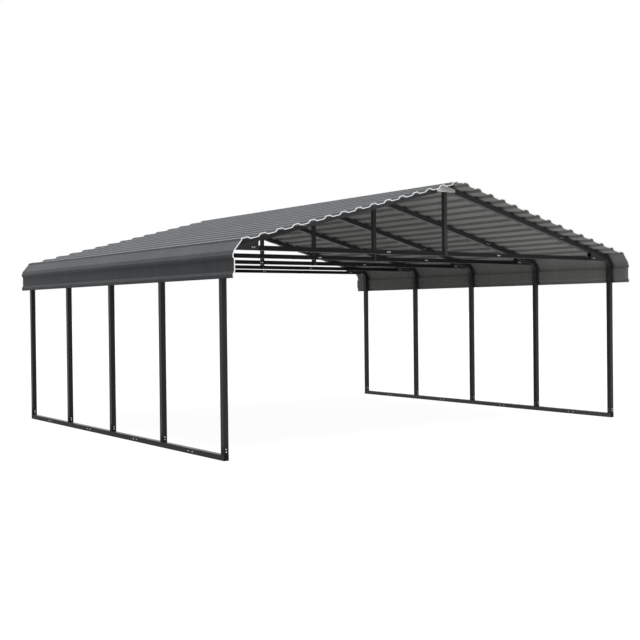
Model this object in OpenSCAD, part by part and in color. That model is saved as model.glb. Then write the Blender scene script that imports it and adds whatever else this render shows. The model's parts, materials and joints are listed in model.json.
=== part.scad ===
// Open two-car carport: five bents of square steel tube under a ribbed sheet roof.
// X runs across the building, Y along it with the front at -Y, and Z up from the ground.

/* [Plan] */
// Distance between the centre lines of the left and right posts
frame_w = 6052; // [4800:2:7000]
// Distance from one bent to the next
bay_l = 1310; // [1000:5:1600]
// Number of bays between the end bents
bays = 4; // [4:2:8]
// Roof past the centre line of each end bent
overhang = 285; // [150:5:400]

/* [Height] */
// Height at which the corner bows start to bend
bend_z = 2025; // [1800:5:2600]
// Slope of the roof in degrees
roof_pitch = 14.4; // [12:0.1:18]

/* [Square tube] */
// Outside of the tube in posts, rafters and base rails
tube = 57; // [50:0.5:64]
// Wall of that tube
tube_wall = 1.5; // [1.2:0.1:2.5]
// Clearance on each side where one tube slips into another
fit = 0.8; // [0.3:0.1:0.9]
// Wall of the larger tube in corner bows and peak sleeves
sleeve_wall = 2.7; // [1.5:0.1:4]

/* [Corner bows and peak] */
// Centre-line radius of the bend
bow_radius = 140; // [120:5:180]
// Straight leg that slips over the post
bow_lower_leg = 205; // [150:5:300]
// Straight leg that takes the rafter
bow_upper_leg = 945; // [700:5:1200]
// Length of rafter inside the bow
rafter_socket = 150; // [80:5:250]
// Space between the post top and the start of the bend
post_stop = 10; // [2:1:30]
// Leg of the peak sleeve along each rafter
peak_leg = 250; // [150:5:400]
// Space between each rafter end and the peak
rafter_gap = 30; // [20:1:60]

/* [Ties] */
// Outside of the tie tube
tie = 50; // [40:0.5:55]
// Wall of the tie tube
tie_wall = 1.5; // [1.2:0.1:2.5]
// Underside of the tie above the start of the bend
tie_rise = 86; // [75:1:95]
// Blunt end of the tie inward from the end of the bend
tie_nose = 13; // [5:1:40]
// Splice of the tie from the middle of the building
tie_splice = 877; // [500:1:1200]
// Length of each swaged end that slips into the next tube
spigot_l = 100; // [60:5:150]
// Outside of the king post
king_post = 46; // [36:0.5:50]
// Wall of the king post
king_wall = 1.5; // [1.2:0.1:2.5]

/* [Gusset plates] */
// Length of a plate along the tie
gusset_l = 288; // [200:1:400]
// Plate upward past the underside of the bow
gusset_lap = 20; // [12:1:40]
// Thickness of the plate
gusset_t = 3; // [2:0.5:5]
// Length of the joggle from the tie to the wider bow
gusset_joggle = 12; // [8:1:20]

/* [Base rails] */
// Upright stub on the rail inside each post
stub_h = 120; // [80:5:200]
// Flange of the cap on each open rail end
cap_t = 3; // [2:0.5:6]
// Plug of the cap inside the rail
cap_plug = 20; // [10:1:40]

/* [Roof sheets] */
// Thickness of the sheet
sheet_t = 0.5; // [0.4:0.1:1.2]
// Ribs on each slope, from the ridge to the eave corner
ribs = 15; // [12:3:18]
// Width of a rib at its foot
rib_base = 114; // [100:2:128]
// Width of a rib at its crest
rib_top = 52; // [40:1:60]
// Height of a rib
rib_h = 23; // [18:1:30]
// First rib from the ridge, along the slope
ridge_rib = 88; // [70:1:110]
// Flat past a lapped rib
lap_tail = 30; // [15:1:50]
// Space between each top sheet and the ridge line
ridge_gap = 12; // [4:1:25]
// Last rib inward from the centre line of the posts
corner_in = 104; // [95:1:115]
// Width of the crest of the last rib
corner_crest = 70; // [60:1:76]
// Slope of its outer flank in degrees
corner_flank = 71; // [65:1:78]
// Slope of the sheet over the bend of the bows in degrees
chamfer = 50; // [45:1:53]
// Height of the upright eave face
eave_face = 287; // [240:1:360]
// Height of the two ribs in that face
eave_rib_h = 16; // [10:1:22]
// Width of those ribs at the foot
eave_rib_base = 84; // [70:1:96]
// Width of those ribs at the crest
eave_rib_top = 24; // [16:1:36]
// Drop from the knee to the crest of the upper of them
knee_drop = 42; // [30:1:48]
// Share of the lowest rib's outer flank that is left on the sheet
lip_return = 0.45; // [0.2:0.05:0.95]

/* [Peak plate] */
// Width of the plain plate on the front peak
plate_w = 288; // [200:2:360]
// Height of its upright ends
plate_end = 36; // [24:1:60]
// Thickness of the plate
plate_t = 3; // [1:0.5:6]
// Plate below the roof sheet
plate_drop = 12; // [5:1:40]

/* [Hidden] */

// Colours of the finishes
charcoal = [0.17, 0.17, 0.18];
cap_black = [0.07, 0.07, 0.07];
sheet_grey = [0.42, 0.43, 0.43];
plate_grey = [0.78, 0.78, 0.77];

// Overcut of the tools that open or trim a solid
over = 1;
// Reach of the blocks that trim a solid, past any piece
far = 2 * bow_upper_leg;

// Bents along Y
frame_l = bays * bay_l;
bents = [0 : bays];
inner_bents = [1 : 2 : bays - 1];
middle_bents = [2 : 2 : bays - 2];
function bent_y(i) = i * bay_l - frame_l / 2;
roof_l = frame_l + 2 * overhang;

// Sections
half_w = frame_w / 2;
sleeve = tube + 2 * fit + 2 * sleeve_wall;
post_top = bend_z - post_stop;

// Roof plane: distance along the slope from the ridge, and height square to it
slope = [cos(roof_pitch), -sin(roof_pitch)];
square_up = [sin(roof_pitch), cos(roof_pitch)];
turn = 90 - roof_pitch;
bend_centre = [half_w - bow_radius, bend_z];
roof_level = bend_centre * square_up + bow_radius + sleeve / 2;
apex_z = roof_level / cos(roof_pitch);
function on_roof(s, n) = [0, apex_z] + s * slope + n * square_up;
function roof_z(x, n) = (roof_level + n - x * sin(roof_pitch)) / cos(roof_pitch);
bow_end = bend_centre + bow_radius * square_up;
bow_end_s = (bow_end - [0, apex_z]) * slope - bow_upper_leg;

// Ties
tie_z = bend_z + tie_rise;
nose_x = bend_centre[0] + (bow_radius - sleeve / 2) * sin(roof_pitch) - tie_nose;

// Ribs along the slope
last_rib = ribs - 1;
first_lap = ribs / 3;
second_lap = 2 * ribs / 3;
last_rib_s = (half_w - corner_in) / cos(roof_pitch);
rib_step = (last_rib_s - ridge_rib) / last_rib;
flank = atan2(rib_h, (rib_base - rib_top) / 2);
function rib_s(k) = ridge_rib + k * rib_step;

// Eave: the last rib's outer flank, a chamfer that rests on the bend of the bows, and the upright face
bow_out = [sin(chamfer), cos(chamfer)];
chamfer_level = bend_centre * bow_out + bow_radius + sleeve / 2;
corner_edge = on_roof(rib_s(last_rib) - rib_top / 2 + corner_crest, rib_h);
flank_way = [cos(corner_flank), -sin(corner_flank)];
corner_foot = corner_edge + flank_way * (chamfer_level - corner_edge * bow_out) / (flank_way * bow_out);
eave_x = half_w + sleeve / 2;
knee_z = (chamfer_level - eave_x * sin(chamfer)) / cos(chamfer);
eave_z = knee_z - eave_face;

// Feet and crest of a rib whose surface is raised by lift, from flats at two levels
function rib_crest(lift) = rib_top / 2 + lift * tan(flank / 2);
function rib_foot(lift, level) = rib_base / 2 + lift / sin(flank) - level / tan(flank);
function rib_points(k, lift = 0, above = 0, below = 0) = [
    on_roof(rib_s(k) - rib_foot(lift, above), above),
    on_roof(rib_s(k) - rib_crest(lift), rib_h + lift),
    on_roof(rib_s(k) + rib_crest(lift), rib_h + lift),
    on_roof(rib_s(k) + rib_foot(lift, below), below)
];
function plain_ribs(first, last) = [for (k = [first : last]) each rib_points(k)];

// A rib of the upright eave face, with its upper foot at height z and its crest lower by a drop
function eave_rib(z, drop) = [
    [eave_x, z],
    [eave_x + eave_rib_h, z - drop],
    [eave_x + eave_rib_h, z - drop - eave_rib_top],
    [eave_x, z - eave_rib_base]
];

// Outline of a sheet from its underside, with mitred corners
function left_of(a, b) = [a[1] - b[1], b[0] - a[0]] / norm(b - a);
function mitre(n1, n2) = (n1 + n2) / (1 + n1 * n2);
function raised(path, i, t) =
    let (last = len(path) - 1)
    let (before = left_of(path[max(i - 1, 0)], path[max(i, 1)]))
    let (after = left_of(path[min(i, last - 1)], path[min(i + 1, last)]))
    path[i] + t * mitre(before, after);
function sheet_outline(path) = concat(
    path,
    [for (i = [len(path) - 1 : -1 : 0]) raised(path, i, sheet_t)]
);

module sheet(path) {
    color(sheet_grey)
        rotate([90, 0, 0])
            linear_extrude(height = roof_l, center = true)
                polygon(sheet_outline(path));
}

module on_left() {
    mirror([1, 0, 0]) children();
}

module each_bent(which = bents) {
    for (i = which) translate([0, bent_y(i), 0]) children();
}

// An outline drawn in X and Z, as deep as given and centred on Y
module upright(depth) {
    rotate([90, 0, 0]) linear_extrude(height = depth, center = true) children();
}

// Square tube along +Z
module square_tube(size, wall, length) {
    difference() {
        linear_extrude(length) square(size, center = true);
        translate([0, 0, -over]) linear_extrude(length + 2 * over) square(size - 2 * wall, center = true);
    }
}

// Shoulder and spigot on a tube that ends at Z = 0
module swaged_end(size, wall) {
    spigot = size - 2 * wall - 2 * fit;
    difference() {
        union() {
            translate([0, 0, -wall]) linear_extrude(wall) square(size, center = true);
            translate([0, 0, -wall]) linear_extrude(wall + spigot_l) square(spigot, center = true);
        }
        translate([0, 0, -wall - over])
            linear_extrude(wall + spigot_l + 2 * over)
                square(spigot - 2 * wall, center = true);
    }
}

// Base rail along Y under one post, with its stub, from back to front reach of the post
module base_rail(front, back, swaged = false) {
    stub = tube - 2 * tube_wall - 2 * fit;
    color(charcoal) {
        translate([half_w, -front, tube / 2]) rotate([-90, 0, 0]) square_tube(tube, tube_wall, front + back);
        translate([half_w, 0, tube]) square_tube(stub, tube_wall, stub_h);
        if (swaged) {
            translate([half_w, back, tube / 2]) rotate([-90, 0, 0]) swaged_end(tube, tube_wall);
            translate([half_w, -front, tube / 2]) rotate([90, 0, 0]) swaged_end(tube, tube_wall);
        }
    }
}

module end_rails() {
    each_bent([0]) base_rail(tube / 2, bay_l / 2);
    each_bent([bays]) base_rail(bay_l / 2, tube / 2);
}

module inner_rails() {
    each_bent(inner_bents) base_rail(bay_l / 2, bay_l / 2, swaged = true);
}

module middle_rails() {
    each_bent(middle_bents) base_rail(bay_l / 2, bay_l / 2);
}

module left_end_rails() { on_left() end_rails(); }
module left_inner_rails() { on_left() inner_rails(); }
module left_middle_rails() { on_left() middle_rails(); }
module right_end_rails() { end_rails(); }
module right_inner_rails() { inner_rails(); }
module right_middle_rails() { middle_rails(); }

// Cap on the front end of a rail, its flange outside
module end_cap() {
    plug = tube - 2 * tube_wall - 2 * fit;
    translate([0, -frame_l / 2 - tube / 2, tube / 2])
        rotate([-90, 0, 0]) {
            translate([0, 0, -cap_t]) linear_extrude(cap_t) square(tube, center = true);
            linear_extrude(cap_plug) square(plug, center = true);
        }
}

module rail_end_caps() {
    color(cap_black)
        for (side = [-1, 1], end = [0, 180])
            rotate(end) translate([side * half_w, 0, 0]) end_cap();
}

module posts() {
    color(charcoal)
        each_bent() translate([half_w, 0, tube]) square_tube(tube, tube_wall, post_top - tube);
}

module left_posts() { on_left() posts(); }
module right_posts() { posts(); }

// Outline of a bent bar on the bow's path, with its two ends lengthened by extra
module bow_outline(size, extra = 0) {
    reach = 2 * bow_radius;
    translate([half_w - size / 2, bend_z - bow_lower_leg - extra]) square([size, bow_lower_leg + extra]);
    translate(bend_centre)
        intersection() {
            difference() {
                circle(bow_radius + size / 2, $fn = 96);
                circle(bow_radius - size / 2, $fn = 96);
            }
            polygon([[0, 0], [reach, 0], [reach, reach], [reach / tan(turn), reach]]);
        }
    translate(bow_end)
        rotate(-roof_pitch)
            translate([-bow_upper_leg - extra, -size / 2])
                square([bow_upper_leg + extra, size]);
}

module corner_bows() {
    bore = sleeve - 2 * sleeve_wall;
    color(charcoal)
        each_bent()
            difference() {
                upright(sleeve) bow_outline(sleeve);
                upright(bore) bow_outline(bore, over);
            }
}

module left_corner_bows() { on_left() corner_bows(); }
module right_corner_bows() { corner_bows(); }

// Rafter from inside the bow to just short of the peak
module rafters() {
    rafter_s = bow_end_s + rafter_socket;
    foot = on_roof(rafter_s, -sleeve / 2);
    color(charcoal)
        each_bent()
            translate([foot[0], 0, foot[1]])
                rotate([0, -turn, 0])
                    square_tube(tube, tube_wall, rafter_s - rafter_gap);
}

module left_rafters() { on_left() rafters(); }
module right_rafters() { rafters(); }

// Outline of both legs at the peak, between two depths below the roof plane
module peak_outline(top, bottom, leg) {
    half = [
        [0, roof_z(0, -top)],
        on_roof(leg, -top),
        on_roof(leg, -bottom),
        [0, roof_z(0, -bottom)]
    ];
    polygon(half);
    mirror([1, 0]) polygon(half);
}

module peak_sleeves() {
    color(charcoal)
        each_bent()
            difference() {
                upright(sleeve) peak_outline(0, sleeve, peak_leg);
                upright(sleeve - 2 * sleeve_wall)
                    peak_outline(sleeve_wall, sleeve - sleeve_wall, peak_leg + over);
            }
}

// Tie tube from its splice to the corner, cut to the underside of the bow
module side_tie() {
    color(charcoal)
        each_bent() {
            difference() {
                translate([tie_splice, 0, tie_z + tie / 2])
                    rotate([0, 90, 0])
                        square_tube(tie, tie_wall, nose_x - tie_splice);
                upright(2 * tie)
                    polygon([
                        on_roof(bow_end_s, -sleeve),
                        on_roof(bow_end_s + far, -sleeve),
                        on_roof(bow_end_s + far, 0),
                        on_roof(bow_end_s, 0)
                    ]);
            }
            translate([tie_splice, 0, tie_z + tie / 2]) rotate([0, -90, 0]) swaged_end(tie, tie_wall);
        }
}

module left_tie_tubes() { on_left() side_tie(); }
module right_tie_tubes() { side_tie(); }

module centre_tie_tubes() {
    color(charcoal)
        each_bent()
            translate([-tie_splice, 0, tie_z + tie / 2])
                rotate([0, 90, 0])
                    square_tube(tie, tie_wall, 2 * tie_splice);
}

// King post from the tie to the underside of the peak sleeve
module king_posts() {
    bore = king_post - 2 * king_wall;
    color(charcoal)
        each_bent()
            difference() {
                upright(king_post)
                    polygon([
                        [-king_post / 2, tie_z + tie],
                        [king_post / 2, tie_z + tie],
                        [king_post / 2, roof_z(king_post / 2, -sleeve)],
                        [0, roof_z(0, -sleeve)],
                        [-king_post / 2, roof_z(king_post / 2, -sleeve)]
                    ]);
                translate([0, 0, tie_z]) linear_extrude(apex_z - tie_z) square(bore, center = true);
            }
}

// Gusset on the back of the joint between tie and bow, joggled from one to the other
module gusset() {
    tie_side = tie / 2;
    bow_side = sleeve / 2;
    inner_x = nose_x - gusset_l;
    foot_n = -sleeve - tie - gusset_l;
    strip = [
        [foot_n, tie_side],
        [-sleeve - gusset_joggle, tie_side],
        [-sleeve, bow_side],
        [0, bow_side]
    ];
    back = [for (i = [len(strip) - 1 : -1 : 0]) raised(strip, i, gusset_t)];
    start = on_roof(bow_end_s, 0);
    color(charcoal)
        intersection() {
            upright(2 * sleeve)
                polygon([
                    [inner_x, tie_z],
                    [nose_x, tie_z],
                    [nose_x, roof_z(nose_x, gusset_lap - sleeve)],
                    [inner_x, roof_z(inner_x, gusset_lap - sleeve)]
                ]);
            translate([start[0], 0, start[1]])
                rotate([0, 90 + roof_pitch, 0])
                    linear_extrude(far)
                        polygon([for (p = concat(strip, back)) [-p[0], p[1]]]);
        }
}

module back_gussets() { each_bent() gusset(); }
module front_gussets() { each_bent() mirror([0, 1, 0]) gusset(); }
module left_front_gussets() { on_left() front_gussets(); }
module left_back_gussets() { on_left() back_gussets(); }
module right_front_gussets() { front_gussets(); }
module right_back_gussets() { back_gussets(); }

// Eave panel: the last rib, the chamfer over the bow, and the upright face with its two ribs
module eave_panel() {
    corner = rib_points(last_rib);
    lip = eave_rib(eave_z + eave_rib_base, (eave_rib_base - eave_rib_top) / 2);
    sheet(concat(
        [corner[0], corner[1], corner_edge, corner_foot],
        eave_rib(knee_z, knee_drop),
        [lip[0], lip[1], lip[2], lip[2] + lip_return * (lip[3] - lip[2])]
    ));
}

// Lower sheet, lapped over the crest of the eave panel
module lower_sheet() {
    lap = rib_points(last_rib, sheet_t);
    edge = corner_edge + sheet_t * square_up;
    sheet(concat(plain_ribs(second_lap, last_rib - 1), [lap[0], lap[1], edge]));
}

// Sheet lapped over the first rib of the one below it, from a given rib or start
module lapped_sheet(start, first, last) {
    tail = on_roof(rib_s(last) + rib_base / 2 + lap_tail, sheet_t);
    sheet(concat(start, plain_ribs(first, last - 1), rib_points(last, sheet_t, 0, sheet_t), [tail]));
}

module middle_sheet() { lapped_sheet([], first_lap, second_lap); }
module upper_sheet() { lapped_sheet([on_roof(ridge_gap, 0)], 0, first_lap); }

module left_eave_panel() { on_left() eave_panel(); }
module left_lower_sheet() { on_left() lower_sheet(); }
module left_middle_sheet() { on_left() middle_sheet(); }
module left_upper_sheet() { on_left() upper_sheet(); }
module right_eave_panel() { eave_panel(); }
module right_lower_sheet() { lower_sheet(); }
module right_middle_sheet() { middle_sheet(); }
module right_upper_sheet() { upper_sheet(); }

// Cap bent along the ridge, with a rib and a flat over each top sheet
module ridge_cap() {
    tail = on_roof(rib_s(0) + rib_base / 2 + lap_tail, sheet_t);
    right = concat(rib_points(0, sheet_t, sheet_t, sheet_t), [tail]);
    left = [for (i = [len(right) - 1 : -1 : 0]) [-right[i][0], right[i][1]]];
    sheet(concat(left, [[0, roof_z(0, sheet_t)]], right));
}

// Plain plate on the front of the first peak sleeve
module peak_plate() {
    edge_z = roof_z(plate_w / 2, -plate_drop);
    color(plate_grey)
        translate([0, bent_y(0) - sleeve / 2 - plate_t / 2, 0])
            upright(plate_t)
                polygon([
                    [-plate_w / 2, edge_z - plate_end],
                    [plate_w / 2, edge_z - plate_end],
                    [plate_w / 2, edge_z],
                    [0, roof_z(0, -plate_drop)],
                    [-plate_w / 2, edge_z]
                ]);
}

left_end_rails();
left_inner_rails();
left_middle_rails();
right_end_rails();
right_inner_rails();
right_middle_rails();
rail_end_caps();
left_posts();
right_posts();
left_corner_bows();
right_corner_bows();
left_rafters();
right_rafters();
peak_sleeves();
left_tie_tubes();
centre_tie_tubes();
right_tie_tubes();
king_posts();
left_front_gussets();
left_back_gussets();
right_front_gussets();
right_back_gussets();
left_eave_panel();
left_lower_sheet();
left_middle_sheet();
left_upper_sheet();
right_eave_panel();
right_lower_sheet();
right_middle_sheet();
right_upper_sheet();
ridge_cap();
peak_plate();
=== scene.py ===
import json
import math
import bmesh
import bpy
from mathutils import Matrix, Vector


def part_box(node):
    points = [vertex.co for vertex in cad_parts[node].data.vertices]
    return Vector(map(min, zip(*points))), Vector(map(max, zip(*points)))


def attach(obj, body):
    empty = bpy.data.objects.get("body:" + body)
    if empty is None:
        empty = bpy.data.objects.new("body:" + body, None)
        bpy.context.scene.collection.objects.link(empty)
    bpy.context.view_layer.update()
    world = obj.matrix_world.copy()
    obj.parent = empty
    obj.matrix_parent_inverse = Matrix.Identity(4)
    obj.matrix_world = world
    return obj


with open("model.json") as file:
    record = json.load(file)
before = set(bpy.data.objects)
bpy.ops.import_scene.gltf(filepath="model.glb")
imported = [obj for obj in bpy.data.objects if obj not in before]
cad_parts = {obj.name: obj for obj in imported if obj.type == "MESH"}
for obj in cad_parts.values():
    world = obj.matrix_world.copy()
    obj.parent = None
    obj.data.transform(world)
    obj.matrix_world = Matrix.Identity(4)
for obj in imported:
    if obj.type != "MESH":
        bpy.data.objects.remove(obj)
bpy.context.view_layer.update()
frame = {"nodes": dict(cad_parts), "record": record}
nodes = frame["nodes"]
mm = 0.001
print("frame loaded:", len(nodes), "nodes")


# Sizes read from the frame, and the few that its boxes don't show

frameFacts = {
    "bents": 5,
    "pitch": 14.4,       # degrees of the roof
    "gussetThick": 3,    # mm
}


def middle(node):
    low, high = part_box(node)
    return (low + high) / 2


def extent(node):
    low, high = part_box(node)
    return high - low


sides = (-1, 1)
postX = middle("right_posts").x
tubeWide = extent("right_posts").x
bentCount = frameFacts["bents"]
bayLong = (extent("right_posts").y - tubeWide) / (bentCount - 1)
bentY = [(i - (bentCount - 1) / 2) * bayLong for i in range(bentCount)]
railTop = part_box("left_posts")[0].z
tieWide = extent("centre_tie_tubes").z
tieMid = middle("centre_tie_tubes").z
tieTop = tieMid + tieWide / 2
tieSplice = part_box("centre_tie_tubes")[1].x
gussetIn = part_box("right_back_gussets")[0].x
gussetFace = tieWide / 2 + frameFacts["gussetThick"] * mm
sleeveWide = extent("peak_sleeves").y - (bentCount - 1) * bayLong
sleeveFace = sleeveWide / 2
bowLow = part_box("right_corner_bows")[0]
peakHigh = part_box("peak_sleeves")[1]   # its Z is the underside of the sheets at the ridge
roofPitch = math.radians(frameFacts["pitch"])
bowTopAlong = (bowLow.x + sleeveWide * math.sin(roofPitch)) / math.cos(roofPitch)
peakAlong = peakHigh.x / math.cos(roofPitch)


# Slope coordinates: along the slope from the ridge, and square up from the underside of the sheets
def onRoof(side, along, up):
    x = along * math.cos(roofPitch) + up * math.sin(roofPitch)
    z = peakHigh.z - along * math.sin(roofPitch) + up * math.cos(roofPitch)
    return side * x, z


# Camera, from a fit to the posts, rails, eaves and ties

cameraView = {
    "place": (-8.214, -11.337, 1.501),
    "yaw": 36.230,       # degrees to the right of +Y
    "pitch": -0.599,
    "roll": 0.654,
    "sensor": 36.0,      # mm
    "focal": 56.907,     # mm
    "farthest": 400,     # m
}


def makeCamera(view):
    yaw = math.radians(view["yaw"])
    pitch = math.radians(view["pitch"])
    roll = math.radians(view["roll"])
    ahead = Vector((math.sin(yaw) * math.cos(pitch), math.cos(yaw) * math.cos(pitch), math.sin(pitch)))
    level = Vector((math.cos(yaw), -math.sin(yaw), 0))
    down = ahead.cross(level)
    right = math.cos(roll) * level + math.sin(roll) * down
    up = math.sin(roll) * level - math.cos(roll) * down
    data = bpy.data.cameras.new("viewCamera")
    data.sensor_fit = "HORIZONTAL"
    data.sensor_width = view["sensor"]
    data.lens = view["focal"]
    data.clip_end = view["farthest"]
    camera = bpy.data.objects.new("viewCamera", data)
    turn = Matrix((right, up, -ahead)).transposed().to_4x4()
    camera.matrix_world = Matrix.Translation(view["place"]) @ turn
    bpy.context.scene.collection.objects.link(camera)
    bpy.context.scene.camera = camera


makeCamera(cameraView)
print("camera set")


# Materials

mixShare, mixFrom, mixTo, mixOut = 0, 6, 7, 2   # sockets of a colour mix: share, two colours, result


# An sRGB hex value to linear, by the sRGB curve
def toLinear(hexColour):
    parts = [int(hexColour[i:i + 2], 16) / 255 for i in (1, 3, 5)]
    linear = [p / 12.92 if p <= 0.04045 else ((p + 0.055) / 1.055) ** 2.4 for p in parts]
    return (*linear, 1.0)


def addNode(tree, kind, values=None, links=None, **settings):
    node = tree.nodes.new(kind)
    for name, value in settings.items():
        setattr(node, name, value)
    for socket, value in (values or {}).items():
        node.inputs[socket].default_value = value
    for socket, output in (links or {}).items():
        tree.links.new(output, node.inputs[socket])
    return node


def emptyTree(holder):
    holder.use_nodes = True
    holder.node_tree.nodes.clear()
    return holder.node_tree


def newMaterial(name):
    material = bpy.data.materials.new(name)
    tree = emptyTree(material)
    shader = addNode(tree, "ShaderNodeBsdfPrincipled")
    addNode(tree, "ShaderNodeOutputMaterial", links={"Surface": shader.outputs["BSDF"]})
    return material, tree, shader


def perMetre(sizeMm):
    return 1000 / sizeMm


# Powder coat baked on steel tube: near-black charcoal, satin, with a faint orange peel, and darker towards
# the ground at the feet
powderCoat = {
    "name": "charcoalPowderCoat",
    "dark": "#323234",
    "light": "#3b3b3e",
    "patchMm": 220,
    "patchDetail": 4.0,
    "roughness": (0.40, 0.54),
    "specular": 0.2,
    "footDarkTone": "#1d1d1d",
    "footHigh": 165,        # mm above the ground
    "footFull": 0.6,        # share of that height below which the darkening is at its most
    "footMost": 0.8,
    "footRagged": 50,       # mm that the darkening's upper edge wanders
    "footDarkMatt": 0.4,        # added roughness where it is darker
    "steepest": 0.5,        # a face whose normal leans up or down by more than this is not darkened
    "sheltered": 1.0,       # m: nor is one that looks in, from this far or more off the middle
    "peelMm": 9,            # real peel is about 2 mm, drawn coarser so that it shows
    "peelDetail": 2.0,
    "peelDeep": 0.4,        # mm
    "peelStrength": 0.35,
}
# Painted light and shade: lit and shaded copies of one powder coat, paler on rafters, sleeves, gussets,
# rails, bows and king posts, where more light falls, and a blacker one on the ties, which lie in the roof's
# shade
rafterPaintedLightCoat = {**powderCoat, "name": "charcoalRafterPaintedLight", "dark": "#464649", "light": "#525256"}
leftRafterPaintedLightCoat = {**powderCoat, "name": "charcoalLeftRafterPaintedLight", "dark": "#58595c", "light": "#656669"}
railPaintedLightCoat = {**powderCoat, "name": "charcoalRailPaintedLight", "dark": "#48484b", "light": "#545458",
            "footDarkTone": "#252525", "specular": 0.38}
bowPaintedLightCoat = {**powderCoat, "name": "charcoalBowPaintedLight", "dark": "#3e3e41", "light": "#49494c"}
kingPaintedLightCoat = {**powderCoat, "name": "charcoalKingPaintedLight", "dark": "#424644", "light": "#4d5250"}
tiePaintedShadeCoat = {**powderCoat, "name": "charcoalTiePaintedShade", "dark": "#212123", "light": "#272729", "specular": 0.12}


def makePowderCoat(look):
    material, tree, shader = newMaterial(look["name"])
    place = addNode(tree, "ShaderNodeTexCoord")
    patch = addNode(tree, "ShaderNodeTexNoise",
                    {"Scale": perMetre(look["patchMm"]), "Detail": look["patchDetail"]},
                    {"Vector": place.outputs["Object"]})
    tone = addNode(tree, "ShaderNodeMix",
                   {mixFrom: toLinear(look["dark"]), mixTo: toLinear(look["light"])},
                   {mixShare: patch.outputs["Fac"]}, data_type="RGBA")
    # Darker towards the ground, on upright faces that aren't sheltered
    facing = addNode(tree, "ShaderNodeNewGeometry")
    turned = addNode(tree, "ShaderNodeSeparateXYZ", links={0: facing.outputs["True Normal"]})
    flat = addNode(tree, "ShaderNodeMath", links={0: turned.outputs["Z"]}, operation="ABSOLUTE")
    upright = addNode(tree, "ShaderNodeMath", {1: look["steepest"]}, {0: flat.outputs[0]},
                      operation="LESS_THAN")
    spot = addNode(tree, "ShaderNodeSeparateXYZ", links={0: place.outputs["Object"]})
    outward = addNode(tree, "ShaderNodeMath", links={0: spot.outputs["X"], 1: turned.outputs["X"]},
                      operation="MULTIPLY")
    exposed = addNode(tree, "ShaderNodeMath", {1: -look["sheltered"]}, {0: outward.outputs[0]},
                      operation="GREATER_THAN")
    footDarkFaces = addNode(tree, "ShaderNodeMath", links={0: upright.outputs[0], 1: exposed.outputs[0]},
                       operation="MULTIPLY")
    # The darkening's upper edge is ragged
    wander = look["footRagged"] * mm
    ragged = addNode(tree, "ShaderNodeMath", {1: wander, 2: -wander / 2}, {0: patch.outputs["Fac"]},
                     operation="MULTIPLY_ADD")
    level = addNode(tree, "ShaderNodeMath", links={0: spot.outputs["Z"], 1: ragged.outputs[0]})
    high = look["footHigh"] * mm
    footDark = addNode(tree, "ShaderNodeMapRange",
                   {"From Min": high, "From Max": high * look["footFull"], "To Max": look["footMost"]},
                   {"Value": level.outputs[0]})
    footDark = addNode(tree, "ShaderNodeMath", links={0: footDark.outputs[0], 1: footDarkFaces.outputs[0]},
                   operation="MULTIPLY")
    tone = addNode(tree, "ShaderNodeMix", {mixTo: toLinear(look["footDarkTone"])},
                   {mixShare: footDark.outputs[0], mixFrom: tone.outputs[mixOut]}, data_type="RGBA")
    gloss = addNode(tree, "ShaderNodeMapRange",
                    {"To Min": look["roughness"][0], "To Max": look["roughness"][1]},
                    {"Value": patch.outputs["Fac"]})
    matt = addNode(tree, "ShaderNodeMath", {1: look["footDarkMatt"]},
                   {0: footDark.outputs[0], 2: gloss.outputs["Result"]}, operation="MULTIPLY_ADD")
    peel = addNode(tree, "ShaderNodeTexNoise",
                   {"Scale": perMetre(look["peelMm"]), "Detail": look["peelDetail"]},
                   {"Vector": place.outputs["Object"]})
    bump = addNode(tree, "ShaderNodeBump",
                   {"Strength": look["peelStrength"], "Distance": look["peelDeep"] * mm},
                   {"Height": peel.outputs["Fac"]})
    tree.links.new(tone.outputs[mixOut], shader.inputs["Base Color"])
    tree.links.new(matt.outputs[0], shader.inputs["Roughness"])
    tree.links.new(bump.outputs["Normal"], shader.inputs["Normal"])
    shader.inputs["Specular IOR Level"].default_value = look["specular"]
    return material


# Coil-coated steel sheet: a flat grey top coat outside, a paler warm backer coat below
coilCoat = {
    "name": "coilCoatedSheet",
    "top": ("#626567", "#6c6f72"),
    "backer": ("#c3c2be", "#cfceca"),
    "lineBelow": 1.0,             # m under the ground: a line along the middle that the backer coat faces
    "roughness": (0.50, 0.62),
    "specular": 0.06,
    "streakMm": (900, 40),        # streaks run down the slope
    "cloudMm": 480,
    "detail": 3.0,                # of streaks and clouds
    "blend": (0.7, 1.3),          # sum of streaks and clouds, from the darker tone to the lighter
    "flankPaintedShade": 0.66,           # painted shade: tone of the rib flanks that look inward from below
    "flankShadeLean": (-0.35, -0.7),   # lean inward at which that starts, and where it is full
    "cornerShadeReach": 60,             # mm: painted shade in the inner corners of the ribs, from ambient occlusion
    "cornerShadeTone": 0.55,
    "cornerShadeOpen": (0.5, 0.9),      # openness of a corner with the most painted shade, and with none
    "cornerShadeSamples": 8,
    "oilCanMm": 350,
    "oilCanDetail": 1.0,
    "oilCanDeep": 3,              # mm
    "oilCanStrength": 0.25,
}
# The eave panels have a greyer backer coat, painted shade that darkens their inner faces, and no ribs, so no
# painted shade on rib flanks
eavePaintedShadeCoat = {**coilCoat, "name": "coilCoatedEavePaintedShade", "backer": ("#aeaeac", "#b9b9b6"), "flankPaintedShade": 1.0}


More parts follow.
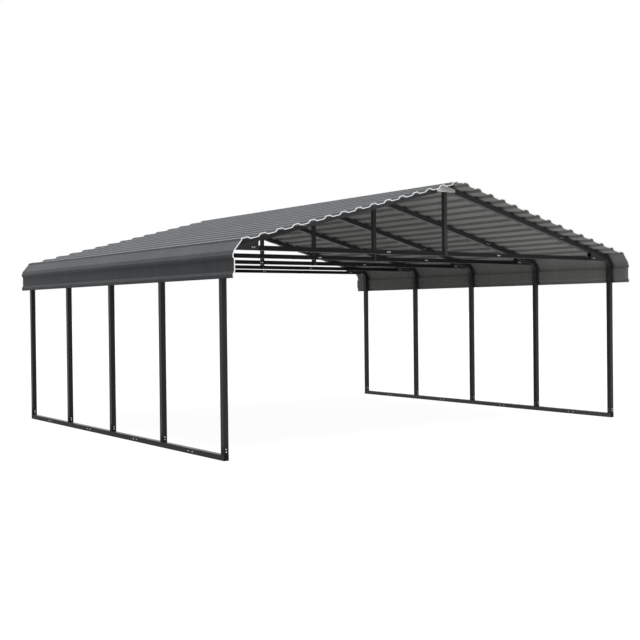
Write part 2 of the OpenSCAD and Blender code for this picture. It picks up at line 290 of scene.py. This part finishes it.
def makeCoilCoat(look):
    material, tree, shader = newMaterial(look["name"])
    place = addNode(tree, "ShaderNodeTexCoord")
    down, across = (perMetre(size) for size in look["streakMm"])
    streakMap = addNode(tree, "ShaderNodeMapping", {"Scale": (down, across, down)},
                        {"Vector": place.outputs["Object"]})
    streak = addNode(tree, "ShaderNodeTexNoise", {"Scale": 1.0, "Detail": look["detail"]},
                     {"Vector": streakMap.outputs["Vector"]})
    cloud = addNode(tree, "ShaderNodeTexNoise",
                    {"Scale": perMetre(look["cloudMm"]), "Detail": look["detail"]},
                    {"Vector": place.outputs["Object"]})
    both = addNode(tree, "ShaderNodeMath", links={0: streak.outputs["Fac"], 1: cloud.outputs["Fac"]})
    blend = addNode(tree, "ShaderNodeMapRange",
                    {"From Min": look["blend"][0], "From Max": look["blend"][1]},
                    {"Value": both.outputs["Value"]})
    top, backer = (addNode(tree, "ShaderNodeMix", {mixFrom: toLinear(dark), mixTo: toLinear(light)},
                           {mixShare: blend.outputs["Result"]}, data_type="RGBA")
                   for dark, light in (look["top"], look["backer"]))
    # Faces that look toward the line below the middle have the backer coat, the others the top coat
    facing = addNode(tree, "ShaderNodeNewGeometry")
    withoutY = (1, 0, 1)
    reach = addNode(tree, "ShaderNodeVectorMath", {1: withoutY, 2: (0, 0, look["lineBelow"])},
                    {0: facing.outputs["Position"]}, operation="MULTIPLY_ADD")
    away = addNode(tree, "ShaderNodeVectorMath",
                   links={0: reach.outputs[0], 1: facing.outputs["True Normal"]}, operation="DOT_PRODUCT")
    below = addNode(tree, "ShaderNodeMath", {1: 0.0}, {0: away.outputs["Value"]}, operation="LESS_THAN")
    # Painted shade on the rib flanks that look inward, seen from below
    spot = addNode(tree, "ShaderNodeSeparateXYZ", links={0: facing.outputs["Position"]})
    turned = addNode(tree, "ShaderNodeSeparateXYZ", links={0: facing.outputs["True Normal"]})
    side = addNode(tree, "ShaderNodeMath", links={0: spot.outputs["X"]}, operation="SIGN")
    outward = addNode(tree, "ShaderNodeMath", links={0: side.outputs[0], 1: turned.outputs["X"]},
                      operation="MULTIPLY")
    flankShade = addNode(tree, "ShaderNodeMapRange",
                    {"From Min": look["flankShadeLean"][0], "From Max": look["flankShadeLean"][1],
                     "To Min": 1.0, "To Max": look["flankPaintedShade"]},
                    {"Value": outward.outputs[0]})
    inside = addNode(tree, "ShaderNodeMix", {mixShare: 1.0},
                     {mixFrom: backer.outputs[mixOut], mixTo: flankShade.outputs["Result"]},
                     data_type="RGBA", blend_type="MULTIPLY")
    tone = addNode(tree, "ShaderNodeMix",
                   links={mixShare: below.outputs["Value"], mixFrom: top.outputs[mixOut],
                          mixTo: inside.outputs[mixOut]}, data_type="RGBA")
    # Painted shade in the inner corners, darker where ambient occlusion finds them closed in
    corner = addNode(tree, "ShaderNodeAmbientOcclusion", {"Distance": look["cornerShadeReach"] * mm},
                     samples=look["cornerShadeSamples"])
    cornerShade = addNode(tree, "ShaderNodeMapRange",
                    {"From Min": look["cornerShadeOpen"][0], "From Max": look["cornerShadeOpen"][1],
                     "To Min": look["cornerShadeTone"]},
                    {"Value": corner.outputs["AO"]})
    tone = addNode(tree, "ShaderNodeMix", {mixShare: 1.0},
                   {mixFrom: tone.outputs[mixOut], mixTo: cornerShade.outputs["Result"]},
                   data_type="RGBA", blend_type="MULTIPLY")
    gloss = addNode(tree, "ShaderNodeMapRange",
                    {"To Min": look["roughness"][0], "To Max": look["roughness"][1]},
                    {"Value": streak.outputs["Fac"]})
    oilCan = addNode(tree, "ShaderNodeTexNoise",
                     {"Scale": perMetre(look["oilCanMm"]), "Detail": look["oilCanDetail"]},
                     {"Vector": place.outputs["Object"]})
    bump = addNode(tree, "ShaderNodeBump",
                   {"Strength": look["oilCanStrength"], "Distance": look["oilCanDeep"] * mm},
                   {"Height": oilCan.outputs["Fac"]})
    tree.links.new(tone.outputs[mixOut], shader.inputs["Base Color"])
    tree.links.new(gloss.outputs["Result"], shader.inputs["Roughness"])
    tree.links.new(bump.outputs["Normal"], shader.inputs["Normal"])
    shader.inputs["Specular IOR Level"].default_value = look["specular"]
    return material


# Zinc-plated steel: the bright, slightly patchy metal of screw heads
zincPlate = {
    "name": "zincPlatedSteel",
    "dark": "#b9bcc0",
    "light": "#e2e4e6",
    "spotMm": 4,
    "spotDetail": 2.0,
    "roughness": (0.25, 0.42),
    "metallic": 0.85,
}
# Duller and greyer on the screws of the straps and the inner feet
dullZinc = {**zincPlate, "name": "dullZincBolt", "dark": "#5e6063", "light": "#83858a",
            "spotMm": 5, "roughness": (0.40, 0.55)}


def makeZinc(look):
    material, tree, shader = newMaterial(look["name"])
    place = addNode(tree, "ShaderNodeTexCoord")
    spot = addNode(tree, "ShaderNodeTexNoise",
                   {"Scale": perMetre(look["spotMm"]), "Detail": look["spotDetail"]},
                   {"Vector": place.outputs["Object"]})
    tone = addNode(tree, "ShaderNodeMix",
                   {mixFrom: toLinear(look["dark"]), mixTo: toLinear(look["light"])},
                   {mixShare: spot.outputs["Fac"]}, data_type="RGBA")
    gloss = addNode(tree, "ShaderNodeMapRange",
                    {"To Min": look["roughness"][0], "To Max": look["roughness"][1]},
                    {"Value": spot.outputs["Fac"]})
    tree.links.new(tone.outputs[mixOut], shader.inputs["Base Color"])
    tree.links.new(gloss.outputs["Result"], shader.inputs["Roughness"])
    shader.inputs["Metallic"].default_value = look["metallic"]
    return material


# Plain finishes: an even tone with a fine speckle and a little relief, in mm
plainFinish = {"speckDetail": 3.0, "reliefStrength": 0.3}
# Moulded polyethylene of the end caps: black and dull, with a fine grain from the mould
mouldedCap = {**plainFinish, "name": "blackMouldedCap", "dark": "#0e0e0f", "light": "#161617",
              "speckMm": 6, "relief": 0.2, "roughness": 0.55, "metallic": 0.0, "specular": 0.12}
# Silver-grey enamel of the plate: pale, with a soft metallic shine
silverEnamel = {**plainFinish, "name": "silverGreyEnamel", "dark": "#f2f2f0", "light": "#fbfbf9",
                "speckMm": 30, "relief": 0.1, "roughness": 0.30, "metallic": 0.65, "specular": 0.5}
# Bare zinc at the cut ends of the sheets: a thin bright line
cutEdge = {**plainFinish, "name": "brightZincEdge", "dark": "#e8e9ea", "light": "#f8f8f8",
           "speckMm": 25, "relief": 0.1, "roughness": 0.25, "metallic": 1.0, "specular": 0.5}


def makePlain(look):
    material, tree, shader = newMaterial(look["name"])
    place = addNode(tree, "ShaderNodeTexCoord")
    speck = addNode(tree, "ShaderNodeTexNoise",
                    {"Scale": perMetre(look["speckMm"]), "Detail": look["speckDetail"]},
                    {"Vector": place.outputs["Object"]})
    tone = addNode(tree, "ShaderNodeMix",
                   {mixFrom: toLinear(look["dark"]), mixTo: toLinear(look["light"])},
                   {mixShare: speck.outputs["Fac"]}, data_type="RGBA")
    bump = addNode(tree, "ShaderNodeBump",
                   {"Strength": look["reliefStrength"], "Distance": look["relief"] * mm},
                   {"Height": speck.outputs["Fac"]})
    tree.links.new(tone.outputs[mixOut], shader.inputs["Base Color"])
    tree.links.new(bump.outputs["Normal"], shader.inputs["Normal"])
    shader.inputs["Roughness"].default_value = look["roughness"]
    shader.inputs["Metallic"].default_value = look["metallic"]
    shader.inputs["Specular IOR Level"].default_value = look["specular"]
    return material


coatMaterial = makePowderCoat(powderCoat)
# Painted light and shade: the lit and shaded copies of the powder coat
rafterPaintedLightMaterial = makePowderCoat(rafterPaintedLightCoat)
leftRafterPaintedLightMaterial = makePowderCoat(leftRafterPaintedLightCoat)
railPaintedLightMaterial = makePowderCoat(railPaintedLightCoat)
bowPaintedLightMaterial = makePowderCoat(bowPaintedLightCoat)
kingPaintedLightMaterial = makePowderCoat(kingPaintedLightCoat)
tiePaintedShadeMaterial = makePowderCoat(tiePaintedShadeCoat)
sheetMaterial = makeCoilCoat(coilCoat)
eavePaintedShadeMaterial = makeCoilCoat(eavePaintedShadeCoat)
zincMaterial = makeZinc(zincPlate)
boltMaterial = makeZinc(dullZinc)
capMaterial = makePlain(mouldedCap)
plateMaterial = makePlain(silverEnamel)
edgeMaterial = makePlain(cutEdge)

slotMaterials = {
    "frame_tube": coatMaterial,
    "roof_sheet": sheetMaterial,
    "end_cap": capMaterial,
    "plain_plate": plateMaterial,
}
# Lit and shaded copies of a finish (painted light and shade), by the ending of the node's name
paintedLightCopies = {
    "tie_tubes": tiePaintedShadeMaterial,
    "right_rafters": rafterPaintedLightMaterial,
    "left_rafters": leftRafterPaintedLightMaterial,
    "sleeves": rafterPaintedLightMaterial,
    "gussets": rafterPaintedLightMaterial,
    "rails": railPaintedLightMaterial,
    "corner_bows": bowPaintedLightMaterial,
    "king_posts": kingPaintedLightMaterial,
    "eave_panel": eavePaintedShadeMaterial,
}
slotOf = {part["node"]: part["material_slot"] for part in frame["record"]["subparts"]}
for name, cadNode in nodes.items():
    finish = slotMaterials[slotOf[name]]
    for ending, paintedLightCopy in paintedLightCopies.items():
        if name.endswith(ending):
            finish = paintedLightCopy
    cadNode.data.materials.clear()
    cadNode.data.materials.append(finish)
print("materials on", len(nodes), "nodes")


# Screws: a hex head on a round flange, many to a piece

screwKinds = {   # mm
    "selfDrilling": {"flat": 9, "head": 5, "flange": 7.5, "thick": 1.6},
    "washered": {"flat": 10, "head": 6, "flange": 9.5, "thick": 1.6},
    "roofing": {"flat": 8, "head": 5, "flange": 8, "thick": 2.2},
    "bolt": {"flat": 10, "head": 6, "flange": 8.5, "thick": 2.0},
}
screwShape = {
    "flangeSides": 16,
    "headSides": 6,
    "flangeTaper": 0.12,   # share of the flange's radius
    "chamfer": 0.2,        # share of the head's height and radius
}


def addScrew(bm, place, outward, kind):
    look = screwKinds[kind]
    turn = Vector((0, 0, 1)).rotation_difference(Vector(outward)).to_matrix().to_4x4()
    seat = Matrix.Translation(place) @ turn
    flange = look["flange"] * mm
    thick = look["thick"] * mm
    head = look["head"] * mm
    corner = look["flat"] * mm / math.sqrt(3)
    chamfer = screwShape["chamfer"]
    straight = head * (1 - chamfer)
    # Flange, head and chamfer: sides, lower and upper radius, start and height
    cones = (
        (screwShape["flangeSides"], flange, flange * (1 - screwShape["flangeTaper"]), 0, thick),
        (screwShape["headSides"], corner, corner, thick, straight),
        (screwShape["headSides"], corner, corner * (1 - chamfer), thick + straight, head - straight),
    )
    for count, lower, upper, start, high in cones:
        bmesh.ops.create_cone(bm, cap_ends=True, segments=count, radius1=lower, radius2=upper, depth=high,
                              matrix=seat @ Matrix.Translation((0, 0, start + high / 2)))


def finishPiece(name, bm, material):
    bmesh.ops.recalc_face_normals(bm, faces=bm.faces)
    mesh = bpy.data.meshes.new(name)
    bm.to_mesh(mesh)
    bm.free()
    mesh.materials.append(material)
    piece = bpy.data.objects.new(name, mesh)
    bpy.context.scene.collection.objects.link(piece)
    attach(piece, "root")


def screwPiece(name, screws, kind, material=zincMaterial):
    bm = bmesh.new()
    for place, outward in screws:
        addScrew(bm, place, outward, kind)
    finishPiece(name, bm, material)


# Screws on the front and back faces of every bent, at X and Z of the right side and mirrored to the left
def faceScrews(spots, halfDeep):
    return [((side * x, y + face * halfDeep, z), (0, face, 0))
            for side in sides for y in bentY for face in sides for x, z in spots]


# Rows of screws, in mm from the joint that they hold
screwPlaces = {
    "railSplice": (-41, 41),
    "foot": (30, 57),
    "bowFoot": (22, 48),
    "bowTop": (14, 44),
    "peak": (30, 70),
    "tieSplice": (-15, 15),
    "gusset": (50, 76),
    "gussetUp": 6,           # above the middle of the tie
    "strap": (-25, 22),
}

railScrews = []
for side in sides:
    for y, nextY in zip(bentY, bentY[1:]):
        for step in screwPlaces["railSplice"]:
            for face in sides:
                x = side * postX + face * tubeWide / 2
                railScrews.append(((x, (y + nextY) / 2 + step * mm, railTop / 2), (face, 0, 0)))
screwPiece("rail_splice_screws", railScrews, "selfDrilling")

footZ = [railTop + step * mm for step in screwPlaces["foot"]]
footSpots = [(postX, z) for z in footZ]
innerFootScrews = [((side * (postX - tubeWide / 2), y, z), (-side, 0, 0))
                   for side in sides for y in bentY for z in footZ]
bowFootSpots = [(postX, bowLow.z + step * mm) for step in screwPlaces["bowFoot"]]
screwPiece("post_foot_screws", faceScrews(footSpots, tubeWide / 2), "selfDrilling")
screwPiece("inner_foot_screws", innerFootScrews, "selfDrilling", boltMaterial)
screwPiece("bow_foot_screws", faceScrews(bowFootSpots, sleeveFace), "selfDrilling", bowPaintedLightMaterial)

# Upper ends of the bows and legs of the peak sleeves
bowTopSpots = [onRoof(1, bowTopAlong + step * mm, -sleeveFace) for step in screwPlaces["bowTop"]]
peakSpots = [onRoof(1, peakAlong - step * mm, -sleeveFace) for step in screwPlaces["peak"]]
screwPiece("rafter_screws", faceScrews(bowTopSpots, sleeveFace), "selfDrilling")
screwPiece("peak_screws", faceScrews(peakSpots, sleeveFace), "selfDrilling", rafterPaintedLightMaterial)

tieSpots = [(tieSplice + step * mm, tieMid) for step in screwPlaces["tieSplice"]]
gussetZ = tieMid + screwPlaces["gussetUp"] * mm
gussetSpots = [(gussetIn + step * mm, gussetZ) for step in screwPlaces["gusset"]]
screwPiece("tie_splice_screws", faceScrews(tieSpots, tieWide / 2), "washered")
screwPiece("gusset_bolts", faceScrews(gussetSpots, gussetFace), "bolt")


# Straps that hold the king posts to the ties

strapLook = {"wide": 34, "high": 104, "thick": 3, "edge": 1.2}   # mm


def addBox(bm, low, high, edge):
    low, high = Vector(low), Vector(high)
    shape = Matrix.Translation((low + high) / 2) @ Matrix.Diagonal((*(high - low), 1))
    made = bmesh.ops.create_cube(bm, matrix=shape)
    edges = list({e for v in made["verts"] for e in v.link_edges})
    bmesh.ops.bevel(bm, geom=edges, offset=edge, segments=2, affect="EDGES")


strapBm = bmesh.new()
strapScrews = []
strapHalf = strapLook["wide"] * mm / 2
strapFoot = tieTop - strapLook["high"] * mm / 2
strapHead = strapFoot + strapLook["high"] * mm
for y in bentY:
    for face in sides:
        near = y + face * tieWide / 2
        far = near + face * strapLook["thick"] * mm
        addBox(strapBm, (-strapHalf, min(near, far), strapFoot), (strapHalf, max(near, far), strapHead),
               strapLook["edge"] * mm)
        for step in screwPlaces["strap"]:
            strapScrews.append(((0, far, tieTop + step * mm), (0, face, 0)))
finishPiece("king_straps", strapBm, kingPaintedLightMaterial)
screwPiece("strap_screws", strapScrews, "selfDrilling", boltMaterial)
print("frame screws made")


# Roofing screws in the flats between the ribs, over every bent

roofRows = {
    "ribs": 15,          # on each slope
    "firstRib": 88,      # mm down the slope from the ridge
    "lastRibIn": 104,    # mm inside the middle of the posts
    "sheet": 0.5,        # mm thick
}
firstAlong = roofRows["firstRib"] * mm
lastAlong = (postX - roofRows["lastRibIn"] * mm) / math.cos(roofPitch)
ribStep = (lastAlong - firstAlong) / (roofRows["ribs"] - 1)
roofScrews = []
for side in sides:
    for y in bentY:
        for rib in range(1, roofRows["ribs"] - 1):
            x, z = onRoof(side, firstAlong + (rib + 0.5) * ribStep, roofRows["sheet"] * mm)
            roofScrews.append(((x, y, z), (side * math.sin(roofPitch), 0, math.cos(roofPitch))))
screwPiece("roof_screws", roofScrews, "roofing", sheetMaterial)
print("roof screws made")


# Bright edge along the cut ends of the sheets

edgeTrim = {   # mm
    "thick": 7.0,       # across the sheet
    "proud": 2.0,       # past its end
    "deep": 6.0,        # back over it
    "stagger": 0.1,     # less proud by this from sheet to sheet, so that lapped edges don't share a plane
    "endReach": 0.05,   # a corner this near to the end is on it
}
keyDigits = 5           # of a corner's place in m, so that shared corners match


# Middle line of the cut end of a sheet, in X and Z, from the outline of that end
def endPath(node, yEnd):
    mesh = nodes[node].data
    after = {}
    for poly in mesh.polygons:
        places = [mesh.vertices[i].co for i in poly.vertices]
        onEnd = [abs(p.y - yEnd) < edgeTrim["endReach"] * mm for p in places]
        if all(onEnd):
            continue
        keys = [(round(p.x, keyDigits), round(p.z, keyDigits)) if on else None
                for p, on in zip(places, onEnd)]
        for a, b in zip(keys, keys[1:] + keys[:1]):
            if a and b and a != b:
                after[a] = b
    loop = [min(after)]
    while after[loop[-1]] != loop[0]:
        loop.append(after[loop[-1]])
    loop = [Vector(p) for p in loop]
    count = len(loop)
    # The two short steps, half the outline apart, are the sheet's edges: the middle line runs between them
    steps = [(loop[(i + 1) % count] - loop[i]).length for i in range(count)]
    short = min(range(count), key=lambda i: steps[i] + steps[(i + count // 2) % count])
    loop = loop[short + 1:] + loop[:short + 1]
    return [(loop[i] + loop[count - 1 - i]) / 2 for i in range(count // 2)]


def addRibbon(bm, path, half, yOut, yIn):
    rings = []
    for i, here in enumerate(path):
        before = (here - path[i - 1]).normalized() if i else (path[1] - here).normalized()
        ahead = (path[i + 1] - here).normalized() if i < len(path) - 1 else before
        squareBefore = Vector((-before.y, before.x))
        squareAhead = Vector((-ahead.y, ahead.x))
        shift = (squareBefore + squareAhead) / (1 + squareBefore.dot(squareAhead)) * half
        up, down = here + shift, here - shift
        corners = ((up, yOut), (up, yIn), (down, yIn), (down, yOut))
        rings.append([bm.verts.new((p.x, y, p.y)) for p, y in corners])
    for one, two in zip(rings, rings[1:]):
        for i in range(4):
            j = (i + 1) % 4
            bm.faces.new((one[i], one[j], two[j], two[i]))
    bm.faces.new(rings[0][::-1])
    bm.faces.new(rings[-1])


sheetNodes = ["eave_panel", "lower_sheet", "middle_sheet", "upper_sheet"]
trimmed = ["ridge_cap"] + [side + "_" + name for side in ("left", "right") for name in sheetNodes]
for end, label in ((-1, "front"), (1, "back")):
    bm = bmesh.new()
    yEnd = end * extent("ridge_cap").y / 2
    for rank, name in enumerate(trimmed):
        proud = (edgeTrim["proud"] - edgeTrim["stagger"] * rank) * mm
        addRibbon(bm, endPath(name, yEnd), edgeTrim["thick"] * mm / 2, yEnd + end * proud,
                  yEnd - end * edgeTrim["deep"] * mm)
    finishPiece(label + "_edge_trim", bm, edgeMaterial)
print("edge trims made")


# Floor and light

whiteLight = (1, 1, 1, 1)

stageLook = {
    "floor": 300.0,                      # m from the middle to each side
    "drop": 1,                           # mm under the rails
    "floorColour": "#f4f4f4",
    "bounce": ("#a2a2a2", "#1c1c1c"),    # what lights the roof from below, from front to back
    "bounceAcross": (-2.2, 3.0),         # m along Y where that starts and ends
    "bounceLeft": -3.1,                  # m along X where it starts
    "bounceBeyond": "#747474",           # what the floor sends up behind and to the left of it
    "glow": 0.85,                        # share of its own light where it is seen, the rest takes the shadow
    "glowStrength": 1.12,
}


# Rays that show the stage: straight to the camera, by a reflection or through glass
def seenRays(tree):
    ray = addNode(tree, "ShaderNodeLightPath")
    seen = addNode(tree, "ShaderNodeMath",
                   links={0: ray.outputs["Is Camera Ray"], 1: ray.outputs["Is Glossy Ray"]},
                   operation="MAXIMUM")
    return addNode(tree, "ShaderNodeMath",
                   links={0: seen.outputs[0], 1: ray.outputs["Is Transmission Ray"]}, operation="MAXIMUM")


def makeFloor(look):
    bm = bmesh.new()
    bmesh.ops.create_grid(bm, x_segments=2, y_segments=2, size=look["floor"])
    mesh = bpy.data.meshes.new("paleFloor")
    bm.to_mesh(mesh)
    bm.free()
    floor = bpy.data.objects.new("paleFloor", mesh)
    bpy.context.scene.collection.objects.link(floor)
    floor.location.z = -look["drop"] * mm
    material = bpy.data.materials.new("paleFloor")
    tree = emptyTree(material)
    seen = seenRays(tree)
    ground = addNode(tree, "ShaderNodeNewGeometry")
    spot = addNode(tree, "ShaderNodeSeparateXYZ", links={0: ground.outputs["Position"]})
    front, back = look["bounceAcross"]
    fade = addNode(tree, "ShaderNodeMapRange", {"From Min": front, "From Max": back},
                   {"Value": spot.outputs["Y"]})
    inside = addNode(tree, "ShaderNodeMath", {1: look["bounceLeft"]}, {0: spot.outputs["X"]},
                     operation="GREATER_THAN")
    ahead = addNode(tree, "ShaderNodeMath", {1: back}, {0: spot.outputs["Y"]}, operation="LESS_THAN")
    within = addNode(tree, "ShaderNodeMath", links={0: inside.outputs[0], 1: ahead.outputs[0]},
                     operation="MULTIPLY")
    under = addNode(tree, "ShaderNodeMix",
                    {mixFrom: toLinear(look["bounce"][0]), mixTo: toLinear(look["bounce"][1])},
                    {mixShare: fade.outputs[0]}, data_type="RGBA")
    bounce = addNode(tree, "ShaderNodeMix", {mixFrom: toLinear(look["bounceBeyond"])},
                     {mixShare: within.outputs[0], mixTo: under.outputs[mixOut]}, data_type="RGBA")
    paint = addNode(tree, "ShaderNodeMix", {mixTo: toLinear(look["floorColour"])},
                    {mixShare: seen.outputs[0], mixFrom: bounce.outputs[mixOut]}, data_type="RGBA")
    matt = addNode(tree, "ShaderNodeBsdfDiffuse", links={"Color": paint.outputs[mixOut]})
    glow = addNode(tree, "ShaderNodeEmission", {"Color": whiteLight, "Strength": look["glowStrength"]})
    share = addNode(tree, "ShaderNodeMath", {1: look["glow"]}, {0: seen.outputs[0]}, operation="MULTIPLY")
    surface = addNode(tree, "ShaderNodeMixShader",
                      links={0: share.outputs[0], 1: matt.outputs[0], 2: glow.outputs[0]})
    addNode(tree, "ShaderNodeOutputMaterial", links={"Surface": surface.outputs[0]})
    mesh.materials.append(material)


skyLook = {"zenith": 0.35, "horizon": 0.03, "backdrop": 1.0}   # strengths, the last where the sky is seen


def makeSky(look):
    world = bpy.data.worlds.new("softSky")
    bpy.context.scene.world = world
    tree = emptyTree(world)
    place = addNode(tree, "ShaderNodeTexCoord")
    parts = addNode(tree, "ShaderNodeSeparateXYZ", links={0: place.outputs["Generated"]})
    level = addNode(tree, "ShaderNodeMapRange", {"To Min": look["horizon"], "To Max": look["zenith"]},
                    {"Value": parts.outputs["Z"]})
    light = addNode(tree, "ShaderNodeBackground", {"Color": whiteLight}, {"Strength": level.outputs[0]})
    backdrop = addNode(tree, "ShaderNodeBackground", {"Color": whiteLight, "Strength": look["backdrop"]})
    surface = addNode(tree, "ShaderNodeMixShader",
                      links={0: seenRays(tree).outputs[0], 1: light.outputs[0], 2: backdrop.outputs[0]})
    addNode(tree, "ShaderNodeOutputWorld", links={"Surface": surface.outputs[0]})


# Lean: degrees from upright toward the right and the back. Watts: to a square metre
highSun = {"name": "highSoftSun", "lean": (0.0, -10.0), "watts": 3.05, "angle": 50.0}
backFill = {"name": "lowBackFill", "lean": (50.0, 50.0), "watts": 0.7, "angle": 60.0}


def makeSun(look):
    data = bpy.data.lights.new(look["name"], "SUN")
    data.energy = look["watts"]
    data.angle = math.radians(look["angle"])
    sun = bpy.data.objects.new(look["name"], data)
    leanX, leanY = (math.tan(math.radians(v)) for v in look["lean"])
    sun.rotation_euler = Vector((-leanX, -leanY, -1)).to_track_quat("-Z", "Y").to_euler()
    bpy.context.scene.collection.objects.link(sun)


makeFloor(stageLook)
makeSky(skyLook)
makeSun(highSun)
makeSun(backFill)
bpy.context.scene.view_settings.view_transform = "Standard"
print("stage lit")
